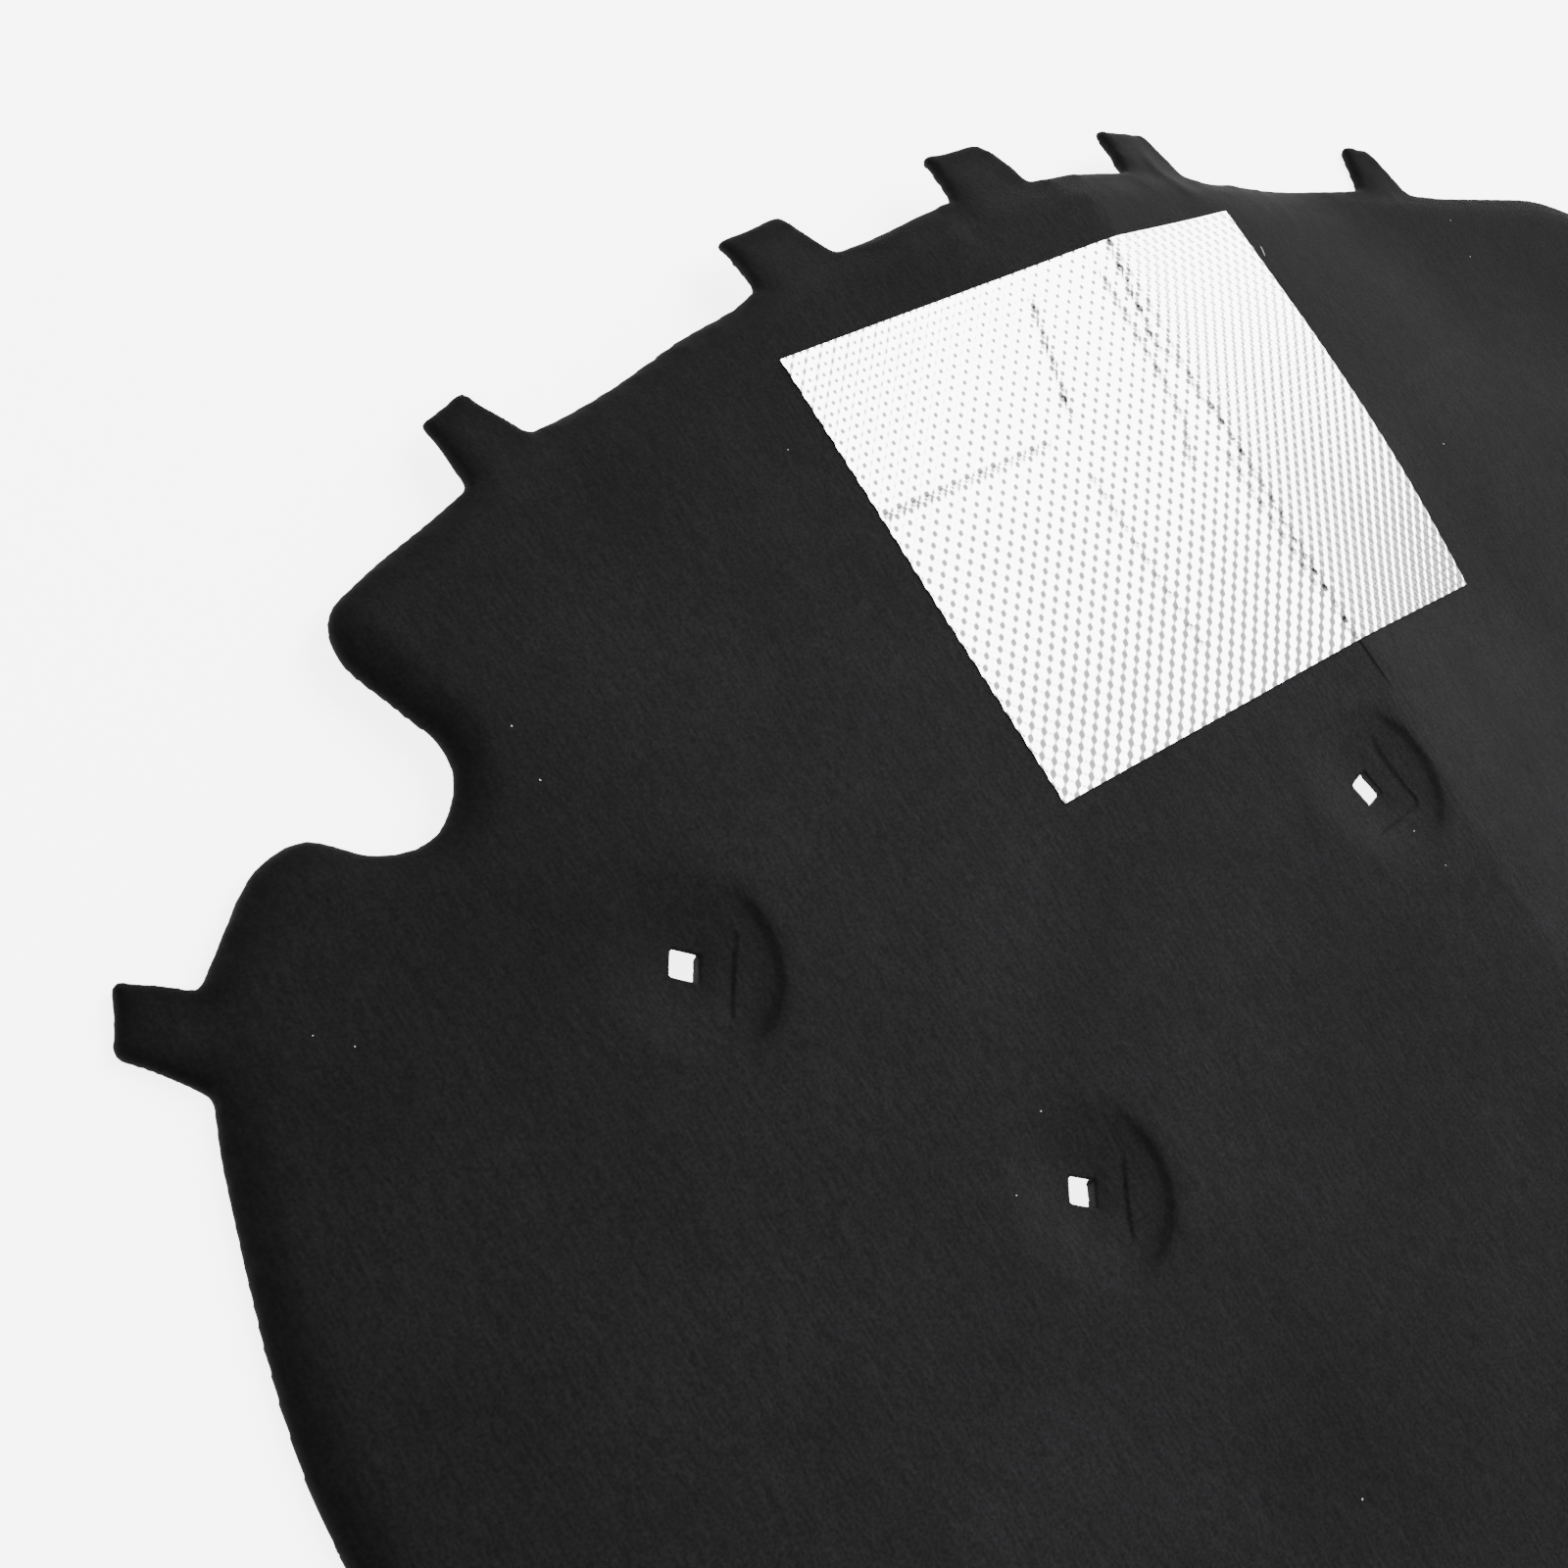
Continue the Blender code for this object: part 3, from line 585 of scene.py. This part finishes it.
felt_mesh = felt.data
felt_mesh.vertices.foreach_set("co", points.astype(np.float32).ravel())
felt_mesh.update()
felt_mesh.shade_smooth()


def store(mesh, name, values):
    """Keeps one number for each point of a mesh, for its material to read."""
    attribute = mesh.attributes.new(name, "FLOAT", "POINT")
    attribute.data.foreach_set("value", np.asarray(values, dtype=np.float32))


store(felt_mesh, "rim_mm", rim_depth / MM)
# The seats' painted shade, kept for the felt material.
store(felt_mesh, "painted_seat_shade", np.clip(seat_shade, 0, 1))
store(felt_mesh, "creased", hump(beyond_ridge, RIDGE_CREASE, CREASE_SPREAD))
felt_faces = [tuple(face.vertices) for face in felt_mesh.polygons]
soft_panel = BVHTree.FromPolygons([tuple(point) for point in points], felt_faces)
lowest, highest = points[:, 2].min() / MM, points[:, 2].max() / MM
print("felt lies between", round(lowest, 1), "and", round(highest, 1), "mm")

# %% [markdown]
# ## Needle felt
# Needle felt is matted fibre without a weave. It hardly shines, so its specular level is low
# and its roughness high. Its fibres are a few hundredths of a millimetre thick, too fine to
# show, so the grain is drawn coarser. A noise's scale counts its spots in a metre: clouds
# of 77 mm, a grain of 1.5 mm, and streaks of 1.9 mm that are stretched along one way, as
# the fibres were carded before they were needled. The steps of the clip seats get painted
# shade. The last 15 mm of the rim is darker, partly as denser felt and partly as painted
# shade, and a wide painted shade darkens the felt over the last 170 mm towards the rim.

# %% Felt fibres, rim and painted shade
CLOUDS, GRAIN, STREAKS = 13.0, 680.0, 520.0
CARDED_WAY, CARDED_STRETCH = 0.6, 0.22

felt_material, tree, shader = new_material("needle_felt")
place = add(tree, "ShaderNodeTexCoord").outputs["Object"]
clouds = add(tree, "ShaderNodeTexNoise", i0=place, Scale=CLOUDS, Detail=5.0).outputs[0]
grain = add(tree, "ShaderNodeTexNoise", i0=place, Scale=GRAIN, Detail=4.0).outputs[0]
carded = add(tree, "ShaderNodeMapping", Vector=place, Rotation=(0, 0, CARDED_WAY),
             Scale=(1.0, CARDED_STRETCH, 1.0)).outputs[0]
streaks = add(tree, "ShaderNodeTexNoise", i0=carded, Scale=STREAKS, Detail=3.0).outputs[0]
rim_mm = add(tree, "ShaderNodeAttribute", {"attribute_name": "rim_mm"}).outputs["Fac"]
painted_seat_shade = add(tree, "ShaderNodeAttribute", {"attribute_name": "painted_seat_shade"}).outputs["Fac"]
felt_tone_and_painted_shade = product(tree, 1.0, (
    (clouds, 0.3, 0.7, 0.84, 1.16),
    (grain, 0.3, 0.7, 0.68, 1.32),
    (streaks, 0.3, 0.7, 0.80, 1.20),
    # Darker at the rim: the last 15 mm partly as denser felt and partly as painted shade, and a wide
    # painted shade over the last 170 mm.
    (rim_mm, 2.0, 15.0, 0.40, 1.0),
    (rim_mm, 15.0, 170.0, 0.74, 1.12),
    # Painted shade at the steps of the clip seats.
    (painted_seat_shade, 0.0, 1.0, 1.0, 0.45),
))
print("nodes in the felt so far:", len(tree.nodes))

# %% [markdown]
# ## What the fold left
# The shipping fold left a slit in the felt below the foil, and fine scratches along its
# ridge. Both are set out by a Mapping node of the texture kind, whose X axis is turned along
# the line: then X runs along it and Y away from it. The slit fades out at its lower end.

# %% Slit and scratches
SLIT_PIXELS = ((1383, 647), (1424, 707))
SLIT_EDGE = (0.5, 1.7)
SCRATCH_SIZE = (14 * MM, 1.1 * MM, 14 * MM)

slit_start, slit_end = (from_picture(soft_panel, pixel)[0] for pixel in SLIT_PIXELS)
slit_run = slit_end - slit_start
slit_mm = slit_run.length / MM
beside_slit = add(tree, "ShaderNodeMapping", {"vector_type": "TEXTURE"}, Vector=place,
                  Location=slit_start, Rotation=(0, 0, math.atan2(slit_run.y, slit_run.x)),
                  Scale=(MM, MM, MM)).outputs[0]
split = add(tree, "ShaderNodeSeparateXYZ", i0=beside_slit)
off_line = add(tree, "ShaderNodeMath", {"operation": "ABSOLUTE"}, i0=split.outputs[1]).outputs[0]
slit = product(tree, 1.0, (
    (off_line, *SLIT_EDGE, 1.0, 0.0),
    (split.outputs[0], -2.0, 2.0, 0.0, 1.0),
    (split.outputs[0], slit_mm * 0.7, slit_mm, 1.0, 0.0),
))
ridge_turn = math.atan2(1, ridge_line[0])
along_ridge = add(tree, "ShaderNodeMapping", {"vector_type": "TEXTURE"}, Vector=place,
                  Rotation=(0, 0, ridge_turn), Scale=SCRATCH_SIZE).outputs[0]
scratches = add(tree, "ShaderNodeTexNoise", i0=along_ridge, Scale=1.0, Detail=2.0).outputs[0]
creased = add(tree, "ShaderNodeAttribute", {"attribute_name": "creased"}).outputs["Fac"]
scratch = product(tree, creased, ((scratches, 0.55, 0.68, 0.0, 1.0),))
tone = product(tree, felt_tone_and_painted_shade, ((slit, 0.0, 1.0, 1.0, 0.12), (scratch, 0.0, 1.0, 1.0, 0.55)))
print("slit:", round(slit_mm, 1), "mm long")

# %% Finish the felt
FELT_BLACK = linear("181819")[:3]
FIBRE_HEIGHT = 0.25 * MM

black = add(tree, "ShaderNodeVectorMath", {"operation": "SCALE"}, i0=FELT_BLACK, Scale=tone)
tree.links.new(black.outputs[0], shader.inputs["Base Color"])
shader.inputs["Roughness"].default_value = 0.95
shader.inputs["Specular IOR Level"].default_value = 0.08
bump = add(tree, "ShaderNodeBump", Strength=0.5, Distance=FIBRE_HEIGHT, Height=grain)
tree.links.new(bump.outputs[0], shader.inputs["Normal"])
felt_mesh.materials.clear()
felt_mesh.materials.append(felt_material)
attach(felt, "root")
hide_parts("felt_panel")
print("felt triangles:", 2 * len(felt_mesh.polygons))

# %% [markdown]
# ## The foil patch
# The heat shield is thin aluminium foil that was rolled between embossing rollers and glued
# on. A grid is laid over the four corners of the CAD foil. Its own flat measure in
# millimetres from its middle is kept, because the emboss and the creases are set out along
# the foil's edges. The shipping fold left a few crushed lines in it. Each is a strength and
# a short chain of points in that flat measure, and a noise makes it wander a little.

# %% Foil grid and its creases
FOIL_WIDTH_MM, FOIL_HEIGHT_MM = 330.0, 217.0
CREASES = (
    (1.0, ((50.5, 109), (44, 80), (38.5, 54))),
    (0.6, ((52.5, 109), (47, 36))),
    (0.6, ((38.5, 54), (47, 36))),
    (1.0, ((47, 36), (43.5, 25), (47.5, 16), (45.5, -30), (41.5, -109))),
    (0.7, ((33, 94), (31, 54), (26, 17), (13, -4))),
    (0.7, ((37, -4), (38.5, -82))),
    (0.8, ((-17, 92), (-36, 39))),
    (0.55, ((-163, 30), (-57, 31))),
    (0.5, ((-46, 8), (-46, -79))),
)
CREASE_WIDTH_MM = 2.1
WANDER_MM, WANDER_LENGTH_MM = 1.0, 9

foil_mesh = bpy.data.meshes.new("embossed_foil")
bm = bmesh.new()
bmesh.ops.create_grid(bm, x_segments=220, y_segments=145, size=0.5)
flat = np.array([tuple(v.co) for v in bm.verts])[:, :2]
foil_mm = flat * (FOIL_WIDTH_MM, FOIL_HEIGHT_MM)


def from_chain(places, chain):
    """Distance of each place from a chain of points."""
    best = np.full(len(places), np.inf)
    for start, end in zip(chain, chain[1:]):
        start, run = np.array(start), np.subtract(end, start)
        share = np.clip((places - start) @ run / (run @ run), 0, 1)
        best = np.minimum(best, np.linalg.norm(places - start - share[:, None] * run, axis=1))
    return best


wander = np.array([noise.noise(Vector((*place, 0)) / WANDER_LENGTH_MM) for place in foil_mm])
wander *= WANDER_MM
crushed = np.max([strength * hump(from_chain(foil_mm, chain), -wander, CREASE_WIDTH_MM)
                  for strength, chain in CREASES], axis=0)
print("foil points:", len(foil_mm), " crushed:", int((crushed > 0.5).sum()))

# %% [markdown]
# ## Laying the foil
# Each point of the grid goes to its place between the four corners and is dropped onto the
# felt by a ray, so the foil follows every wave. Its two sides were cut across the emboss,
# which leaves them rippled, and its right edge bulges a little beside the fold.

# %% Foil sheet
EMBOSS_MM = 4.25
FOIL_LIFT = 0.5 * MM
CRUSH_DEPTH = 0.15 * MM
AT_SIDE = 0.4999
EDGE_RIPPLE = 0.3 * MM
BULGE_MIDDLE_MM, BULGE_SPREAD_MM, EDGE_BULGE = 20, 45, 2.2 * MM

cad_foil = np.array([tuple(v.co) for v in frame["nodes"]["foil_heat_shield"].data.vertices])
corners = {}
for a, b in ((-1, -1), (-1, 1), (1, -1), (1, 1)):
    corners[a, b] = cad_foil[np.argmax(a * cad_foil[:, 0] + b * cad_foil[:, 1])]
for vert, (s, t), (u, v), crush in zip(bm.verts, flat, foil_mm, crushed):
    a, b = s + 0.5, t + 0.5
    place = ((1 - a) * (1 - b) * corners[-1, -1] + a * (1 - b) * corners[1, -1]
             + (1 - a) * b * corners[-1, 1] + a * b * corners[1, 1])
    if abs(s) > AT_SIDE:
        place[0] += EDGE_RIPPLE * math.cos(math.pi * v / EMBOSS_MM)
    place[0] += EDGE_BULGE * hump(v, BULGE_MIDDLE_MM, BULGE_SPREAD_MM) * max(0.0, s * 2) ** 3
    z = top_of(soft_panel, place[0], place[1])
    vert.co = (place[0], place[1], z + FOIL_LIFT - CRUSH_DEPTH * crush)
bm.to_mesh(foil_mesh)
bm.free()
foil = bpy.data.objects.new("embossed_foil", foil_mesh)
bpy.context.scene.collection.objects.link(foil)
foil_mesh.shade_smooth()
measure = foil_mesh.attributes.new("foil_mm", "FLOAT_VECTOR", "POINT")
flat_points = np.column_stack([foil_mm, np.zeros(len(foil_mm))])
measure.data.foreach_set("vector", flat_points.astype(np.float32).ravel())
store(foil_mesh, "crushed", crushed)
for key, corner in corners.items():
    print("foil corner", key, [round(float(part), 3) for part in corner])

# %% [markdown]
# ## Embossed aluminium
# The rollers raise and sink the foil in turn, like an egg crate whose rows run along its
# edges: a cosine across times a cosine along. It is a bump, as its half millimetre of height
# hardly changes the outline, and real embossing would take millions of faces. It is higher
# in the creases and pressed flatter beyond the ridge. In a crease the pits between the raised
# squares are also painted dark: a painted reflection, as steep facets there reflect the dull
# room and not the softbox. Rolled aluminium is a metal with a low roughness, and here a
# little more than a mirror's.

# %% Foil emboss
EMBOSS_HEIGHT = 0.42 * MM
RIDGE_MM = 47
PIT_SCALE = 0.22

foil_material, tree, shader = new_material("embossed_aluminium")
flat_mm = add(tree, "ShaderNodeAttribute", {"attribute_name": "foil_mm"}).outputs["Vector"]
phase = add(tree, "ShaderNodeVectorMath", {"operation": "SCALE"}, i0=flat_mm,
            Scale=math.pi / EMBOSS_MM).outputs[0]
split = add(tree, "ShaderNodeSeparateXYZ", i0=phase)
across = add(tree, "ShaderNodeMath", {"operation": "COSINE"}, i0=split.outputs[0]).outputs[0]
along = add(tree, "ShaderNodeMath", {"operation": "COSINE"}, i0=split.outputs[1]).outputs[0]
emboss = add(tree, "ShaderNodeMath", {"operation": "MULTIPLY"}, i0=across, i1=along).outputs[0]
crush = add(tree, "ShaderNodeAttribute", {"attribute_name": "crushed"}).outputs["Fac"]
ridge_phase = RIDGE_MM * math.pi / EMBOSS_MM
flattened = product(tree, 1.0, (
    (split.outputs[0], ridge_phase, ridge_phase + 12, 0.0, 1.0),
    (split.outputs[1], -50.0, 30.0, 0.0, 1.0),
))
height = product(tree, emboss, ((crush, 0.0, 1.0, 1.0, 1.8), (flattened, 0.0, 1.0, 1.0, 0.62)))
bump = add(tree, "ShaderNodeBump", Strength=1.0, Distance=EMBOSS_HEIGHT, Height=height)
tree.links.new(bump.outputs[0], shader.inputs["Normal"])
print("emboss:", EMBOSS_MM, "mm across,", EMBOSS_HEIGHT / MM, "mm high")

# %% Finish the foil
pit_reflection_noise = add(tree, "ShaderNodeTexNoise", i0=flat_mm, Scale=PIT_SCALE, Detail=1.0).outputs[0]
# Painted reflection: the emboss pits along the creases are darkened, as steep facets there reflect the
# dull room.
dark_pit_reflection = product(tree, 1.0, (
    (emboss, 0.25, -0.45, 0.0, 1.0),
    (pit_reflection_noise, 0.38, 0.52, 0.55, 1.0),
    (crush, 0.15, 0.75, 0.0, 1.0),
))
# The foil's own near white, mixed with the painted dark reflection of the pits.
foil_white_and_pit_reflection = add(tree, "ShaderNodeMix", {"data_type": "RGBA"}, i0=dark_pit_reflection, i6=linear("fafafa"),
           i7=linear("262526")).outputs[2]
tree.links.new(foil_white_and_pit_reflection, shader.inputs["Base Color"])
shader.inputs["Metallic"].default_value = 1.0
shader.inputs["Roughness"].default_value = 0.16
foil_mesh.materials.append(foil_material)
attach(foil, "root")
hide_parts("foil_heat_shield")
print("foil triangles:", 2 * len(foil_mesh.polygons))

# %% [markdown]
# ## Lint
# Dark felt catches lint, and the photograph shows a few pale specks and one curled thread at
# the foil's corner. Each is a tiny solid of its own. It is placed where the camera's ray
# through its pixel meets the felt, so it lies on the felt seen from any side. A speck is an
# icosphere pressed flat, whose size and turn follow from its number in the list. The thread
# is a small circle spun round an arc, with both ends filled.

# %% Specks and a thread
SPECK_PIXELS = (
    (804, 459), (883, 487), (522, 741), (551, 796), (319, 1057), (362, 1068), (1390, 1530),
    (1473, 453), (1480, 225), (1500, 262), (1062, 1134), (1037, 1220), (1443, 848), (1475, 883),
)
SPECK_SIZE = 0.29 * MM
THREAD_PIXEL = (1286, 252)
THREAD_RADIUS, THREAD_BEND, THREAD_ARC = 0.22 * MM, 9 * MM, math.radians(75)

lint_mesh = bpy.data.meshes.new("lint")
bm = bmesh.new()
for index, pixel in enumerate(SPECK_PIXELS):
    place, normal = from_picture(soft_panel, pixel)
    grown = SPECK_SIZE * (0.8 + 0.4 * math.sin(2.4 * index) ** 2)
    stretch = Matrix.Diagonal((grown * (1.0 + 0.5 * math.cos(index) ** 2), grown, 0.5 * grown, 1))
    on_felt = Matrix.Translation(place + normal * 0.3 * grown)
    facing = normal.to_track_quat("Z", "X").to_matrix().to_4x4()
    turned = facing @ Matrix.Rotation(1.7 * index, 4, "Z")
    bmesh.ops.create_icosphere(bm, subdivisions=2, radius=1, matrix=on_felt @ turned @ stretch)
place, normal = from_picture(soft_panel, THREAD_PIXEL)
upright = Matrix.Rotation(math.radians(90), 4, "X")
on_felt = Matrix.Translation(place + normal * THREAD_RADIUS)
circle = bmesh.ops.create_circle(bm, cap_ends=False, radius=THREAD_RADIUS, segments=8,
                                 matrix=on_felt @ upright)["verts"]
ring = list({edge for vert in circle for edge in vert.link_edges})
bmesh.ops.spin(bm, geom=circle + ring, cent=place + Vector((-THREAD_BEND, 0, 0)), axis=(0, 0, 1),
               angle=-THREAD_ARC, steps=10, use_merge=False, use_duplicate=False)
bmesh.ops.holes_fill(bm, edges=[edge for edge in bm.edges if edge.is_boundary])
bmesh.ops.recalc_face_normals(bm, faces=bm.faces)
bm.to_mesh(lint_mesh)
bm.free()
lint_mesh.shade_smooth()
lint = bpy.data.objects.new("lint", lint_mesh)
bpy.context.scene.collection.objects.link(lint)
lint_triangles = sum(len(face.vertices) - 2 for face in lint_mesh.polygons)
print("specks:", len(SPECK_PIXELS), " lint triangles:", lint_triangles)

# %% [markdown]
# ## Cotton lint
# Lint is loose cotton fibre, so it is pale, matt and uneven. A noise finer than a speck mixes
# a grey and a near white.

# %% Lint material
LINT_SPOTS = 3000.0

lint_material, tree, shader = new_material("pale_cotton_lint")
place = add(tree, "ShaderNodeTexCoord").outputs["Object"]
fluff = add(tree, "ShaderNodeTexNoise", i0=place, Scale=LINT_SPOTS, Detail=1.0).outputs[0]
pale = add(tree, "ShaderNodeMix", {"data_type": "RGBA"}, i0=fluff, i6=linear("8f8d8a"),
           i7=linear("f2f0ec")).outputs[2]
tree.links.new(pale, shader.inputs["Base Color"])
shader.inputs["Roughness"].default_value = 0.9
lint_mesh.materials.append(lint_material)
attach(lint, "root")
print("lint colour spots:", round(1000 / LINT_SPOTS, 2), "mm")
